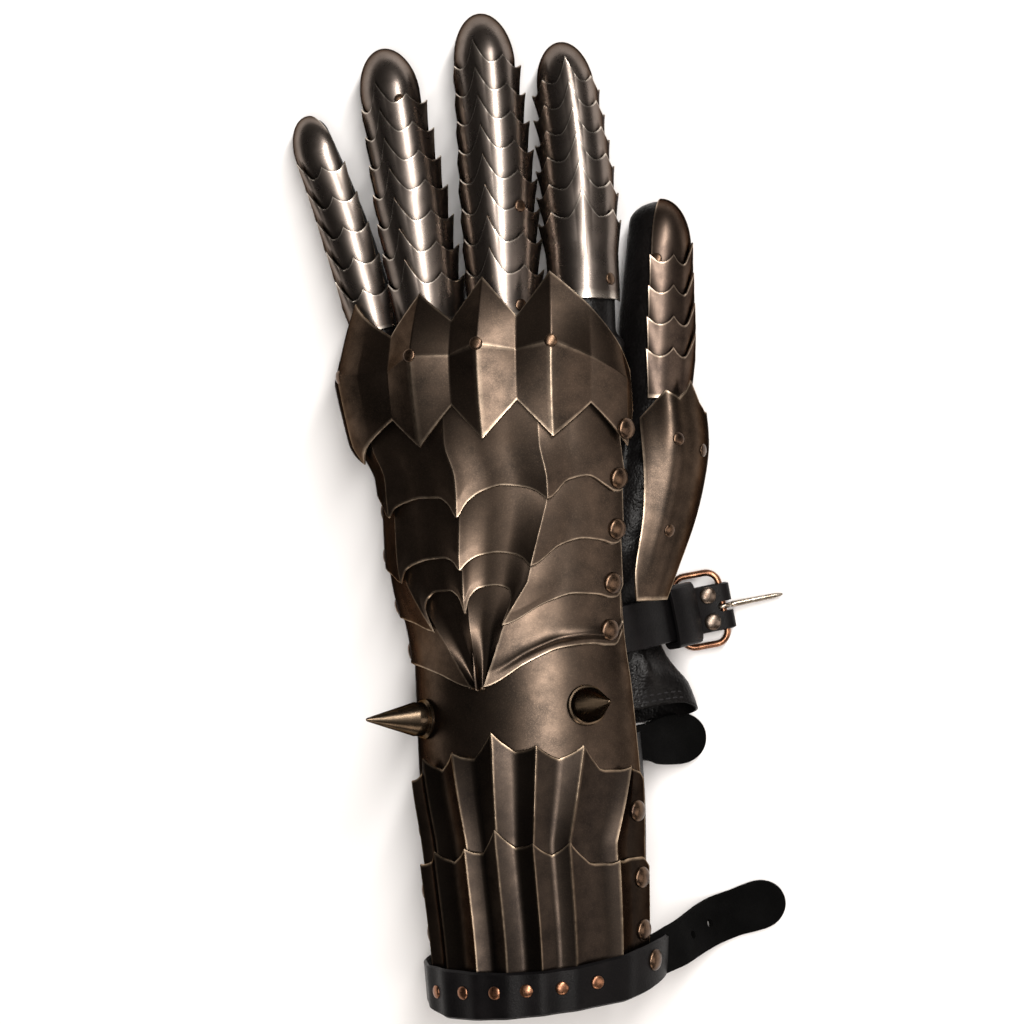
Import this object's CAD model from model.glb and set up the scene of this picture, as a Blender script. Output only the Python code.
"""The looks of an armoured gauntlet for the left hand: antiqued steel plates over a black leather glove.

Lengths are millimetres until a mesh is made, and angles are degrees: 0 is the top of an arm or finger,
and they grow toward the thumb.
"""

import bmesh
import bpy
import numpy as np
from mathutils import Matrix, Vector
from mathutils.kdtree import KDTree


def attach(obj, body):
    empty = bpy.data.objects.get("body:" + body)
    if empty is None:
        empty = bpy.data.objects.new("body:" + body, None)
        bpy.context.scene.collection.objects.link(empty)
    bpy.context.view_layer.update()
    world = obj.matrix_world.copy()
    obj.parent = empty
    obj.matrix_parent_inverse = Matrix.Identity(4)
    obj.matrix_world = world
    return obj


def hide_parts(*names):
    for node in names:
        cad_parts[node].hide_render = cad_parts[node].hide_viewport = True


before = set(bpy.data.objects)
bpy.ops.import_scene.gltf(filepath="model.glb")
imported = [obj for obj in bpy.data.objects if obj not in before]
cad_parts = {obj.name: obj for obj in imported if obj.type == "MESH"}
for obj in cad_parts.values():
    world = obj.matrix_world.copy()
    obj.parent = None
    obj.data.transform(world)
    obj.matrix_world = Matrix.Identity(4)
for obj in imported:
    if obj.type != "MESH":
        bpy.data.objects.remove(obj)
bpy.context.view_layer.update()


# ---- Camera ----
# It looks straight down on the back of the hand from a metre above the table.

CAMERA_HEIGHT = 1.08
PLATE_HEIGHT = 0.03  # where the view is VIEW_WIDTH wide
CAMERA_OVER = (-0.0111, -0.0022)
LENS_MM = 100
VIEW_WIDTH = 0.389

camera_data = bpy.data.cameras.new("camera")
camera_data.lens = LENS_MM
camera_data.sensor_width = LENS_MM * VIEW_WIDTH / (CAMERA_HEIGHT - PLATE_HEIGHT)
camera_data.dof.use_dof = False
camera = bpy.data.objects.new("camera", camera_data)
camera.location = (*CAMERA_OVER, CAMERA_HEIGHT)
bpy.context.scene.collection.objects.link(camera)
bpy.context.scene.camera = camera


# ---- Glove ----
# Soft black leather, sewn, worn under the plates and open at the wrist. It is formed as one skin
# over the hand, the thumb and four fingers, wrinkled at the wrist, and lies flat on its palm.

MM = 0.001
# The hand's own axes start here, beside the middle of the whole piece's footprint.
HAND_ORIGIN = np.array([-10.985, -2.25, 0.0])


def table(names, rows):
    """A table with named columns, in the order of its first column."""
    values = np.array(sorted(rows), float).T
    return dict(zip(names.split(), values))


def eased(places, along, values):
    """Values at places along a table, on a smooth curve that never overshoots."""
    slopes = np.diff(values) / np.diff(along)
    pairs = slopes[1:] * slopes[:-1]
    inner = np.where(pairs > 0, 2 * pairs / np.where(pairs > 0, slopes[1:] + slopes[:-1], 1), 0)
    tangents = np.concatenate([slopes[:1], inner, slopes[-1:]])
    held = np.clip(places, along[0], along[-1])
    spot = np.clip(np.searchsorted(along, held, side="right") - 1, 0, len(along) - 2)
    step = along[spot + 1] - along[spot]
    t = (held - along[spot]) / step
    start = values[spot] * (2 * t**3 - 3 * t**2 + 1) + values[spot + 1] * (3 * t**2 - 2 * t**3)
    return start + step * (tangents[spot] * (t**3 - 2 * t**2 + t) + tangents[spot + 1] * (t**3 - t**2))


def section_points(form, y, angle, rise):
    """Points on lifted oval sections, raised along each section's own normal."""
    y, angle, rise = np.broadcast_arrays(np.asarray(y, float), angle, rise)
    x, z, wide, high, lift = (eased(y, form["y"], form[key]) for key in ("x", "z", "wide", "high", "lift"))
    turn = np.radians(angle)
    across, upward = np.sin(turn) / wide, np.cos(turn) / high
    scale = rise / np.hypot(across, upward)
    side = wide * np.sin(turn) + across * scale
    up = high * np.cos(turn) + upward * scale
    tilt = np.radians(lift)
    place_x = x + side * np.cos(tilt) - up * np.sin(tilt)
    place_z = z + side * np.sin(tilt) + up * np.cos(tilt)
    return np.stack([place_x, y, place_z], axis=-1)


def mesh_object(name, points, faces, body="armour"):
    """A mesh object from points in millimetres on the hand's own axes, riding on a body."""
    mesh = bpy.data.meshes.new(name)
    mesh.from_pydata(((np.asarray(points) + HAND_ORIGIN) * MM).tolist(), [], faces)
    mesh.validate()
    made = bpy.data.objects.new(name, mesh)
    bpy.context.scene.collection.objects.link(made)
    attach(made, body)
    return made


def skin_of_rings(grid):
    """Faces of a closed skin through rings of points, with a fan at each end."""
    rows, sides = grid.shape[:2]
    points = np.vstack([grid.reshape(-1, 3), grid[0].mean(axis=0), grid[-1].mean(axis=0)])
    faces = []
    for i in range(rows - 1):
        for j in range(sides):
            k = (j + 1) % sides
            faces.append((i * sides + j, i * sides + k, (i + 1) * sides + k, (i + 1) * sides + j))
    last = (rows - 1) * sides
    for j in range(sides):
        k = (j + 1) % sides
        faces.append((rows * sides, k, j))
        faces.append((rows * sides + 1, last + j, last + k))
    return points, faces


def face_out(target):
    """Turns every face of a closed mesh outward."""
    shell = bmesh.new()
    shell.from_mesh(target.data)
    bmesh.ops.recalc_face_normals(shell, faces=shell.faces)
    shell.to_mesh(target.data)
    shell.free()


def places_of(target):
    """A mesh's vertices in millimetres on the hand's own axes."""
    return np.array([v.co for v in target.data.vertices]) / MM - HAND_ORIGIN


def move_to(target, points):
    target.data.vertices.foreach_set("co", ((points + HAND_ORIGIN) * MM).ravel())


def finished(target, modifiers):
    """Applies modifiers to an object, each given as a kind and its settings."""
    for kind, settings in modifiers:
        modifier = target.modifiers.new(kind.lower(), kind)
        for key, value in settings.items():
            setattr(modifier, key, value)
    bpy.context.view_layer.update()
    whole = bpy.data.meshes.new_from_object(target.evaluated_get(bpy.context.evaluated_depsgraph_get()))
    target.modifiers.clear()
    target.data = whole
    return target


def smooth(target, sharp_angle=180):
    """Smooth shading, broken where faces meet more sharply than an angle."""
    target.data.shade_smooth()
    if sharp_angle < 180:
        target.data.set_sharp_from_angle(angle=np.radians(sharp_angle))


# Each finger: an axis bent down toward the tip, its radius under the plates, and its lames.
FINGERS = {
    "pinky": dict(base=(-50, 64, 16), bend=(-60.5, 108, 17), tip=(-80.5, 153, 7.4), radius=(9.8, 11.4),
                  turn=-58, lames=5, first=27.4, pitch=12.3, plated=89),
    "ring": dict(base=(-29.5, 64, 30), bend=(-38.5, 122, 31), tip=(-50.6, 178.5, 9.2), radius=(11.6, 14.3),
                 turn=-22, lames=7, first=28.3, pitch=11.6, plated=112),
    "middle": dict(base=(-2.5, 64, 35), bend=(-5, 128, 35), tip=(-13, 192, 9.6), radius=(12, 14.6),
                   turn=-16, lames=8, first=26.6, pitch=11.6, plated=123),
    "index": dict(base=(27.5, 64, 35.5), bend=(27, 122, 36), tip=(18, 181, 9), radius=(11.4, 14.8),
                  turn=4, lames=6, first=23, pitch=10.8, plated=106),
    "thumb": dict(base=(55.5, 36, 20), bend=(55.5, 80, 19), tip=(58, 121, 9.4), radius=(12, 14.6),
                  turn=62, lames=4, first=28.4, pitch=11.8, plated=79, open=0.8, bulge=4),
}
for finger in FINGERS.values():
    share = np.linspace(0, 1, 241)[:, None]
    base, bend, tip = (np.array(finger[key], float) for key in ("base", "bend", "tip"))
    axis = base * (1 - share) ** 2 + 2 * bend * share * (1 - share) + tip * share**2
    steps = np.linalg.norm(np.diff(axis, axis=0), axis=1)
    finger["axis"] = axis[::-1]
    finger["from_tip"] = np.concatenate([[0], np.cumsum(steps[::-1])])
    finger["long"] = finger["from_tip"][-1]


def finger_radius(finger, from_tip):
    low, high = finger["radius"]
    return low + (high - low) * np.clip((from_tip - low) / (0.45 * finger["long"]), 0, 1)


def finger_points(finger, from_tip, angle, radius):
    """Points round a finger, by distance from the tip along its axis, angle, and distance from the axis."""
    from_tip, angle, radius = np.broadcast_arrays(np.asarray(from_tip, float), angle, radius)
    places, axis = finger["from_tip"], finger["axis"]
    slopes = -np.gradient(axis, places, axis=0)
    held = np.clip(from_tip, 0, finger["long"])
    centre = np.stack([np.interp(held, places, axis[:, k]) for k in range(3)], axis=-1)
    along = np.stack([np.interp(held, places, slopes[:, k]) for k in range(3)], axis=-1)
    along /= np.linalg.norm(along, axis=-1, keepdims=True)
    centre = centre + along * (held - from_tip)[..., None]
    side = np.cross(along, (0, 0, 1))
    side /= np.linalg.norm(side, axis=-1, keepdims=True)
    up = np.cross(side, along)
    turn = np.radians(angle + finger["turn"])
    return centre + side * (radius * np.sin(turn))[..., None] + up * (radius * np.cos(turn))[..., None]


GLOVE_FORM = table("y x z wide high lift", [
    (66, -8, 25.5, 52, 24.5, 14),
    (40, -6, 24, 48, 24, 13),
    (15, 0, 21.5, 45, 23, 8),
    (-10, 5, 20, 42, 21, 5),
    (-35, 11, 17, 41, 18.5, 2),
    (-52, 14.5, 15.5, 43.5, 17, 0),
    (-72, 21, 14.5, 48, 16, 0),
    (-84, 23, 14.5, 50, 16.5, 0),
])
THUMB_FORM = table("y x z radius", [
    (-34, 33, 17, 13),
    (-12, 44, 18.5, 16.5),
    (15, 51.5, 20.5, 17.2),
    (35, 52.5, 20, 13.5),
])
LEATHER = 1.5
FINGER_AIR = 3.1  # from a lame's outside to the glove inside it
FINGER_ROOT = 14  # how far a finger's skin runs on into the hand
HEM_Y = -77
HEM_SLANT = 0.2
HEM_TOP = 31
HEM_DRAWN = 6.5  # how far the hem is drawn back at the thumb's side
GLOVE_GRAIN = 1.45  # the skin's own mesh size
FOLD_HIGH = 1.25  # the wrist's folds
CREASE_HIGH = 0.35  # the creases on the thumb's side


def drawn_back(points):
    """Points near the hem, moved toward the hand on the thumb's side, and least at the palm."""
    near = np.clip((-46 - points[:, 1]) / 24, 0, 1) ** 1.5
    side = np.clip((points[:, 0] - 28) / 38, 0, 1) ** 1.5
    high = 0.25 + 0.75 * np.clip(points[:, 2] / 24, 0, 1)
    return points + (HEM_DRAWN * near * side * high)[:, None] * np.array([0, 1, 0])


sides = np.arange(48) * 7.5
rows = np.linspace(GLOVE_FORM["y"][0], GLOVE_FORM["y"][-1], 60)[:, None]
glove_parts = [skin_of_rings(section_points(GLOVE_FORM, rows, sides[None], 0))]
for name, finger in FINGERS.items():
    nose = finger["radius"][0] - FINGER_AIR
    bow = np.radians(np.linspace(4, 90, 10))
    start = 1.0 + nose * (1 - np.cos(bow))
    straight = np.linspace(1.0 + nose, finger["long"] + FINGER_ROOT, 40)[1:]
    places = np.concatenate([start, straight])[:, None]
    shrink = np.concatenate([np.sin(bow), np.ones(len(straight))])[:, None]
    ring = finger_points(finger, places, sides[None], (finger_radius(finger, places) - FINGER_AIR) * shrink)
    open_side = np.maximum(0, -np.cos(np.radians(sides)))[None] * np.minimum(1, shrink)
    ring[..., 0] -= finger.get("bulge", 0) * open_side
    if name == "thumb":
        root_y = np.linspace(THUMB_FORM["y"][0], THUMB_FORM["y"][-1], 24)[::-1]
        centre = [eased(root_y, THUMB_FORM["y"], THUMB_FORM[key])[:, None] for key in ("x", "z", "radius")]
        turn = np.radians(sides + finger["turn"])[None]
        root = np.stack([centre[0] + centre[2] * np.sin(turn),
                         root_y[:, None] + 0 * turn,
                         centre[1] + centre[2] * np.cos(turn)], axis=-1)
        along = ring[ring[:, :, 1].mean(axis=1) > 44]
        ring = np.concatenate([along, root])
    glove_parts.append(skin_of_rings(ring))

glove_points = np.vstack([points for points, faces in glove_parts])
glove_faces = []
count = 0
for points, faces in glove_parts:
    glove_faces += [tuple(corner + count for corner in face) for face in faces]
    count += len(points)
glove = mesh_object("glove", glove_points, glove_faces)
face_out(glove)
finished(glove, [
    ("REMESH", dict(mode="VOXEL", voxel_size=GLOVE_GRAIN * MM)),
    ("SMOOTH", dict(factor=0.5, iterations=6)),
])

# The wrist's folds, the creases over the thumb's root, and the flat palm.
skin = places_of(glove)
facing = np.array([v.normal for v in glove.data.vertices])
turn = np.degrees(np.arctan2(skin[:, 0] - 12, skin[:, 2] - 14))
wrist = np.clip((-16 - skin[:, 1]) / 34, 0, 1) * np.clip((skin[:, 1] + 78) / 14, 0.25, 1)
folds = np.sin(np.radians(turn * 11) + 0.10 * skin[:, 1])
folds = folds + 0.5 * np.sin(np.radians(turn * 23) - 0.06 * skin[:, 1])
thumb_side = np.clip((skin[:, 0] - 34) / 12, 0, 1) * np.clip((skin[:, 1] + 30) / 40, 0, 1)
creases = np.sin(skin[:, 1] * 0.55 + 0.12 * skin[:, 2]) * np.clip((60 - skin[:, 1]) / 30, 0, 1)
pleats = np.where(folds > 0, folds**2 * 0.9, folds * 0.6)
skin += facing * (FOLD_HIGH * wrist * pleats + CREASE_HIGH * thumb_side * creases)[:, None]
skin[:, 2] = np.maximum(skin[:, 2], 0.05)
move_to(glove, skin)
shell = bmesh.new()
shell.from_mesh(glove.data)
hem_normal = Vector((0, -1, HEM_SLANT)).normalized()
hem_point = Vector((np.array([20, HEM_Y, HEM_TOP]) + HAND_ORIGIN) * MM)
geometry = shell.verts[:] + shell.edges[:] + shell.faces[:]
bmesh.ops.bisect_plane(shell, geom=geometry, plane_co=hem_point, plane_no=hem_normal, clear_outer=True)
shell.to_mesh(glove.data)
shell.free()
move_to(glove, drawn_back(places_of(glove)))
finished(glove, [("SOLIDIFY", dict(thickness=LEATHER * MM, offset=-1, use_even_offset=False))])
smooth(glove)


def linear(colour):
    """A sRGB colour written as hex, as the linear values that shaders take."""
    values = [int(colour[i : i + 2], 16) / 255 for i in (0, 2, 4)]
    return (*[v / 12.92 if v <= 0.04045 else ((v + 0.055) / 1.055) ** 2.4 for v in values], 1)


def add_node(tree, kind, inputs=None, **settings):
    """A node with its settings, and each input given as a value or as a socket to link."""
    made = tree.nodes.new(kind)
    for key, value in settings.items():
        setattr(made, key, value)
    for key, value in (inputs or {}).items():
        if isinstance(value, bpy.types.NodeSocket):
            tree.links.new(value, made.inputs[key])
        else:
            made.inputs[key].default_value = value
    return made


def new_material(name):
    """A material with its tree, its shader and object coordinates."""
    material = bpy.data.materials.new(name)
    material.use_nodes = True
    tree = material.node_tree
    shader = tree.nodes["Principled BSDF"]
    coordinates = add_node(tree, "ShaderNodeTexCoord").outputs["Object"]
    return material, tree, shader, coordinates


def noise(tree, coordinates, size_mm, detail=4, rough=0.6, distortion=0.0):
    inputs = {"Vector": coordinates, "Scale": 1 / (size_mm * MM), "Detail": detail, "Roughness": rough}
    inputs["Distortion"] = distortion
    return add_node(tree, "ShaderNodeTexNoise", inputs).outputs["Fac"]


def ranged(tree, value, low, high, to_low=0.0, to_high=1.0):
    inputs = {"Value": value, "From Min": low, "From Max": high, "To Min": to_low, "To Max": to_high}
    return add_node(tree, "ShaderNodeMapRange", inputs).outputs["Result"]


def blended(tree, share, first, second):
    """A mix of two colours."""
    mixed = add_node(tree, "ShaderNodeMix", data_type="RGBA")
    for socket, value in ((0, share), (6, first), (7, second)):
        if isinstance(value, bpy.types.NodeSocket):
            tree.links.new(value, mixed.inputs[socket])
        else:
            mixed.inputs[socket].default_value = value
    return mixed.outputs[2]


def math(tree, operation, first, second):
    return add_node(tree, "ShaderNodeMath", {0: first, 1: second}, operation=operation).outputs[0]


def leather_material(name, dark, worn, grain_mm, rough, bump, gloss=0.3):
    """Grained leather: small rounded cells over fine creases, paler in patches where it is worn."""
    material, tree, shader, coordinates = new_material(name)
    cells = add_node(tree, "ShaderNodeTexVoronoi", {"Vector": coordinates, "Scale": 1 / (grain_mm * MM)},
                     feature="SMOOTH_F1").outputs["Distance"]
    wear = noise(tree, coordinates, 14)
    patches = ranged(tree, wear, 0.42, 0.7)
    tree.links.new(blended(tree, patches, linear(dark), linear(worn)), shader.inputs["Base Color"])
    pores = ranged(tree, cells, 0.1, 0.8, rough - 0.08, rough + 0.12)
    tree.links.new(pores, shader.inputs["Roughness"])
    creases = noise(tree, coordinates, grain_mm * 5, detail=6, distortion=0.6)
    surface = math(tree, "ADD", cells, creases)
    relief = add_node(tree, "ShaderNodeBump", {"Height": surface, "Strength": bump, "Distance": 0.25 * MM})
    tree.links.new(relief.outputs["Normal"], shader.inputs["Normal"])
    shader.inputs["Specular IOR Level"].default_value = gloss
    return material


# Soft grained leather: the coarsest grain and the deepest relief of the leathers, with a broken sheen.
glove_leather = leather_material("black_glove_leather", "080707", "110f0f", 0.9, 0.36, 0.6, 0.17)
glove.data.materials.append(glove_leather)
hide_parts("glove_hand", "glove_thumb", "glove_index", "glove_middle", "glove_ring", "glove_pinky")


# ---- Finger lames ----
# Thin gutters of rubbed steel riveted to the back of each glove finger. Each one lies over the next
# toward the tip, and its front edge is cut into a tall peak with a small cusp on each side.

STEEL_THIN = 0.7
LAME_STEP = 1.25  # from a lame to the next one over it
LAME_REACH = 100  # degrees to each side
LAME_HIDDEN = 2.6
TIP_POINT = 1.75  # how long a tip plate's nose is, in radii
RIM_BOW = 0.4  # how far a rim stands out, in thicknesses
LAME_EDGE = 0.42  # how wide a lame's rim is worn bright
GRIME_WIDE = 3.2  # the dark zone in front of the next lame's edge


def steel_material(name, shadow, body, glow, worn, rough, patchy=1.0):
    """Antiqued steel, blackened in blotches, rubbed and scratched.

    It is bright where the attribute `worn` is above 0, and blackened further where it is below.
    The scratches are drawn about 0.3 mm wide, coarser than real ones, so that they show.
    """
    material, tree, shader, coordinates = new_material(name)
    blotches = ranged(tree, noise(tree, coordinates, 30, detail=4, distortion=0.4), 0.3, 0.7)
    clouds = ranged(tree, noise(tree, coordinates, 7, detail=6, rough=0.62), 0.25, 0.75)
    specks = ranged(tree, noise(tree, coordinates, 0.5, detail=4, rough=0.75), 0.5, 0.78)
    turned = add_node(tree, "ShaderNodeMapping", {"Vector": coordinates, "Rotation": (0.2, 0.4, 0.55),
                                                  "Scale": (1, 14, 14)}).outputs["Vector"]
    scratches = ranged(tree, noise(tree, turned, 4.5, detail=6, rough=0.75), 0.63, 0.8)
    patina = ranged(tree, math(tree, "ADD", blotches, clouds), 0.2, 1.6, 0.5 - 0.5 * patchy, 0.5 + 0.5 * patchy)
    dark = blended(tree, patina, linear(shadow), linear(body))
    rubbed = blended(tree, math(tree, "MULTIPLY", specks, 0.3 * patchy), dark, linear(glow))
    lined = blended(tree, math(tree, "MULTIPLY", scratches, 0.3), rubbed, linear(glow))
    edge = add_node(tree, "ShaderNodeAttribute", attribute_name="worn").outputs["Fac"]
    uneven = math(tree, "MULTIPLY", edge, ranged(tree, noise(tree, coordinates, 3.1), 0.3, 0.62, 0.35, 1))
    blackened = blended(tree, ranged(tree, edge, -1, 0, 0.8, 0), lined, linear("0b0908"))
    tree.links.new(blended(tree, uneven, blackened, linear(worn)), shader.inputs["Base Color"])
    grade = ranged(tree, math(tree, "ADD", clouds, scratches), 0, 1.4, rough + 0.05, rough - 0.05)
    polish = add_node(tree, "ShaderNodeMix", {0: uneven, 2: grade, 3: rough - 0.02}).outputs[0]
    tree.links.new(polish, shader.inputs["Roughness"])
    height = math(tree, "ADD", math(tree, "MULTIPLY", scratches, -0.5), clouds)
    relief = add_node(tree, "ShaderNodeBump", {"Height": height, "Strength": 0.12, "Distance": 0.1 * MM})
    tree.links.new(relief.outputs["Normal"], shader.inputs["Normal"])
    shader.inputs["Metallic"].default_value = 1
    shader.inputs["Specular Tint"].default_value = linear("4a423d")
    return material


def grid_normals(grid):
    """Unit normals of a grid of points."""
    cross = np.cross(np.gradient(grid, axis=1), np.gradient(grid, axis=0))
    return cross / np.maximum(np.linalg.norm(cross, axis=-1, keepdims=True), 1e-9)


def plate(name, grid, thickness, material, outward, crease=None, edge_mm=0.55, grime=None, body="armour"):
    """A steel plate with rounded rims from the grid of its outside; `outward` is a point inside it.

    Its attribute `worn` is 1 at the rims and on the creases that `crease` gives for the grid, and goes
    down to -1 where `grime` is 1.
    """
    rows, columns = grid.shape[:2]
    normals = grid_normals(grid)
    away = ((grid - outward) * normals).sum(axis=-1).mean()
    normals = normals * np.sign(away)
    inside = grid - normals * thickness
    border = [(0, j) for j in range(columns)] + [(i, columns - 1) for i in range(1, rows)]
    border += [(rows - 1, j) for j in range(columns - 2, -1, -1)] + [(i, 0) for i in range(rows - 2, 0, -1)]
    rim = []
    for i, j in border:
        inner_i, inner_j = np.clip(i, 1, rows - 2), np.clip(j, 1, columns - 2)
        out = grid[i, j] - grid[inner_i, inner_j]
        out = out - normals[i, j] * (out @ normals[i, j])
        out = out / max(np.linalg.norm(out), 1e-9)
        rim.append((grid[i, j] + inside[i, j]) / 2 + out * thickness * RIM_BOW)
    points = np.vstack([grid.reshape(-1, 3), inside.reshape(-1, 3), rim])
    layer = rows * columns
    faces = []
    for i in range(rows - 1):
        for j in range(columns - 1):
            a = i * columns + j
            faces.append((a, a + 1, a + columns + 1, a + columns))
            faces.append((layer + a, layer + a + columns, layer + a + columns + 1, layer + a + 1))
    for k, (i, j) in enumerate(border):
        after = (k + 1) % len(border)
        a, b = i * columns + j, border[after][0] * columns + border[after][1]
        faces.append((a, 2 * layer + k, 2 * layer + after, b))
        faces.append((2 * layer + k, layer + a, layer + b, 2 * layer + after))
    made = mesh_object(name, points, faces, body)
    face_out(made)
    edges = KDTree(2 * len(border))
    for k, (i, j) in enumerate(border):
        after = border[(k + 1) % len(border)]
        edges.insert(Vector(grid[i, j]), 2 * k)
        edges.insert(Vector((grid[i, j] + grid[after]) / 2), 2 * k + 1)
    edges.balance()
    distance = np.array([edges.find(Vector(p))[2] for p in grid.reshape(-1, 3)])
    worn = np.clip(1.1 - distance / edge_mm, 0, 1)
    if crease is not None:
        worn = np.maximum(worn, crease.ravel())
    if grime is not None:
        worn = np.where(worn > 0.05, worn, -grime.ravel())
    values = np.concatenate([worn, worn * 0, np.ones(len(rim))])
    made.data.attributes.new("worn", "FLOAT", "POINT").data.foreach_set("value", values.astype(np.float32))
    made.data.materials.append(material)
    smooth(made, 50)
    return made


def scallop(angle):
    """How far a lame's front edge reaches at an angle: a peak, two U valleys, two cusps and two hooks."""
    a = np.abs(angle)
    peak = 9.6 * np.clip(1 - a / 25, 0, 1) ** 1.7
    cusp = 3.4 * np.clip(1 - np.abs(a - 51) / 24, 0, 1) ** 2
    hook = 2.6 * np.clip((a - 80) / 20, 0, 1) ** 1.6
    return peak + cusp + hook


def lame_rise(finger, order, from_tip):
    passed = (from_tip - finger["first"]) / finger["pitch"] + 1
    return LAME_STEP * (order - np.clip(passed, 0, finger["lames"] + 1))


def grimy(covered):
    """How grimy a lame is, by the distance left to the next lame's edge."""
    return np.clip(1 - covered / GRIME_WIDE, 0, 1) ** 1.3


def wrapped(finger, angle):
    """The thumb's lames wrap less far on the side of the index finger."""
    return np.where(angle < 0, angle * finger.get("open", 1), angle)


# Antiqued steel rubbed back: the palest of the steels, with clear highlights.
lame_steel = steel_material("rubbed_antique_steel", "6a625c", "8c827b", "a99c92", "ece2d5", 0.27, 0.8)
# Browned steel: darker, browner and rougher than on the fingers.
thumb_steel = steel_material("browned_steel", "332c29", "5f5249", "8b7767", "d2bfab", 0.32)
sweep = np.linspace(-1, 1, 121)
lame_angles = LAME_REACH * (0.72 * sweep + 0.28 * sweep**3)
shares = np.concatenate([[0, 0.02, 0.045, 0.08, 0.13], np.linspace(0.2, 1, 9)])[:, None]
for name, finger in FINGERS.items():
    steel = thumb_steel if name == "thumb" else lame_steel
    for order in range(1, finger["lames"] + 1):
        valley = finger["first"] + (order - 1) * finger["pitch"]
        last = order == finger["lames"]
        hidden = finger["plated"] if last else valley + finger["pitch"] + LAME_HIDDEN
        if last and name == "index":
            corner = 2.6 * np.clip((np.abs(lame_angles) - 84) / 16, 0, 1) ** 2
            hidden = hidden - corner
        front = valley - scallop(lame_angles)
        place = front[None] + (hidden - front)[None] * shares
        flare = 1.2 * np.clip((np.abs(lame_angles) - 78) / 22, 0, 1) ** 1.5 * (1 - shares) ** 2
        keel = 0.45 * np.clip(1 - np.abs(lame_angles) / 12, 0, 1) * (1 - shares) ** 2
        rise = lame_rise(finger, order, place) + flare + keel
        angles = wrapped(finger, lame_angles)[None]
        grid = finger_points(finger, place, angles, finger_radius(finger, place) + rise)
        centre = finger_points(finger, place, angles, 0).mean(axis=(0, 1))
        covered = valley + finger["pitch"] - scallop(lame_angles)[None] - place
        grime = grimy(covered) * (not last)
        made = plate(f"{name}_lame_{order}", grid, STEEL_THIN, steel, centre, edge_mm=LAME_EDGE, grime=grime)
        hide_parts(f"lame_{name}_{order}")

    nose = finger["radius"][0] * TIP_POINT
    bow = np.radians(np.concatenate([[3, 7], np.linspace(12, 90, 16)]))
    start = nose * (1 - np.cos(bow))
    place = np.concatenate([start, np.linspace(nose, finger["first"] + LAME_HIDDEN, 6)[1:]])[:, None]
    shrink = np.concatenate([np.sin(bow), np.ones(5)])[:, None]
    held = np.maximum(place, nose)
    radius = (finger_radius(finger, held) + lame_rise(finger, 0, held)) * shrink
    grid = finger_points(finger, place, wrapped(finger, lame_angles)[None], radius)
    centre = finger_points(finger, nose, 0, 0)
    grime = grimy(finger["first"] - scallop(lame_angles)[None] - place)
    made = plate(f"{name}_tip_plate", grid, STEEL_THIN, steel, centre, edge_mm=LAME_EDGE, grime=grime)
    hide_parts(f"tip_plate_{name}")


# ---- Knuckle plate ----
# One sheet of blackened steel folded into four pointed knuckles, with a crest across them and a
# sharp fold down the middle of each. It lies over the roots of the lames and the first hand lame.

STEEL = 0.9
STEEL_STEP = 1.5  # from a hand plate to the next one over it
ARM_FORM = table("y x z wide high lift", [
    (108, -8, 26, 50, 20, 14),
    (64, -8.5, 31, 54, 27, 14),
    (26, -6.5, 31, 53, 28.5, 14),
    (12, -2.5, 30, 50, 28.5, 14),
    (-22, -0.2, 28, 47, 29, 13),
    (-57, 4.9, 27, 42.5, 30, 12),
    (-100, 8.1, 28.6, 43.3, 33, 10),
    (-132, 10.6, 28.8, 41.6, 33.5, 9),
    (-166, 12.6, 29, 39.2, 33.5, 8),
    (-190, 13.3, 29, 37.6, 33, 8),
])
# How many plate edges lie between the knuckles and y: each plate steps down by one layer.
PLATE_COUNT = table("y passed", [(60, 0), (32, 1), (4, 2), (-16, 3), (-35, 4), (-55, 5), (-62, 5.3)])
KNUCKLES = table("angle front crest back rise", [
    (-98, 62, 46, 26, 3),
    (-84, 64, 47, 25, 6),
    (-66, 79, 51, 18, 8),
    (-51, 72, 51.5, 26.5, 6.6),
    (-36, 65.5, 52, 34.5, 3.6),
    (-23, 81.5, 58, 24, 7.5),
    (-8, 71, 58, 39.5, 3.4),
    (3.5, 87.5, 62, 27, 7.5),
    (18, 72.5, 60, 41.5, 3.4),
    (32, 89.5, 63, 28, 7.5),
    (50.5, 77, 57.5, 40.5, 3.6),
    (72, 61, 50, 25, 4),
    (80, 53, 46, 38, 2),
])
KNUCKLE_EDGE = 1.8
KNUCKLE_POINTS = (-66, -23, 3.5, 32)


def plates_passed(y):
    return np.interp(y, PLATE_COUNT["y"], PLATE_COUNT["passed"])


def near_lines(lines, middles, width):
    """1 on any of some lines, falling to 0 at a width from them."""
    gaps = np.abs(np.asarray(lines)[..., None] - np.array(middles))
    return np.clip(1 - gaps.min(axis=-1) / width, 0, 1)


def with_steps(knots, pieces):
    """Values through knots, with each stretch cut into pieces that are finer at both of its ends."""
    steps = (1 - np.cos(np.linspace(0, np.pi, pieces + 1)[:-1])) / 2
    spans = [low + (high - low) * steps for low, high in zip(knots[:-1], knots[1:])]
    return np.concatenate([*spans, [knots[-1]]])


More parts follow.
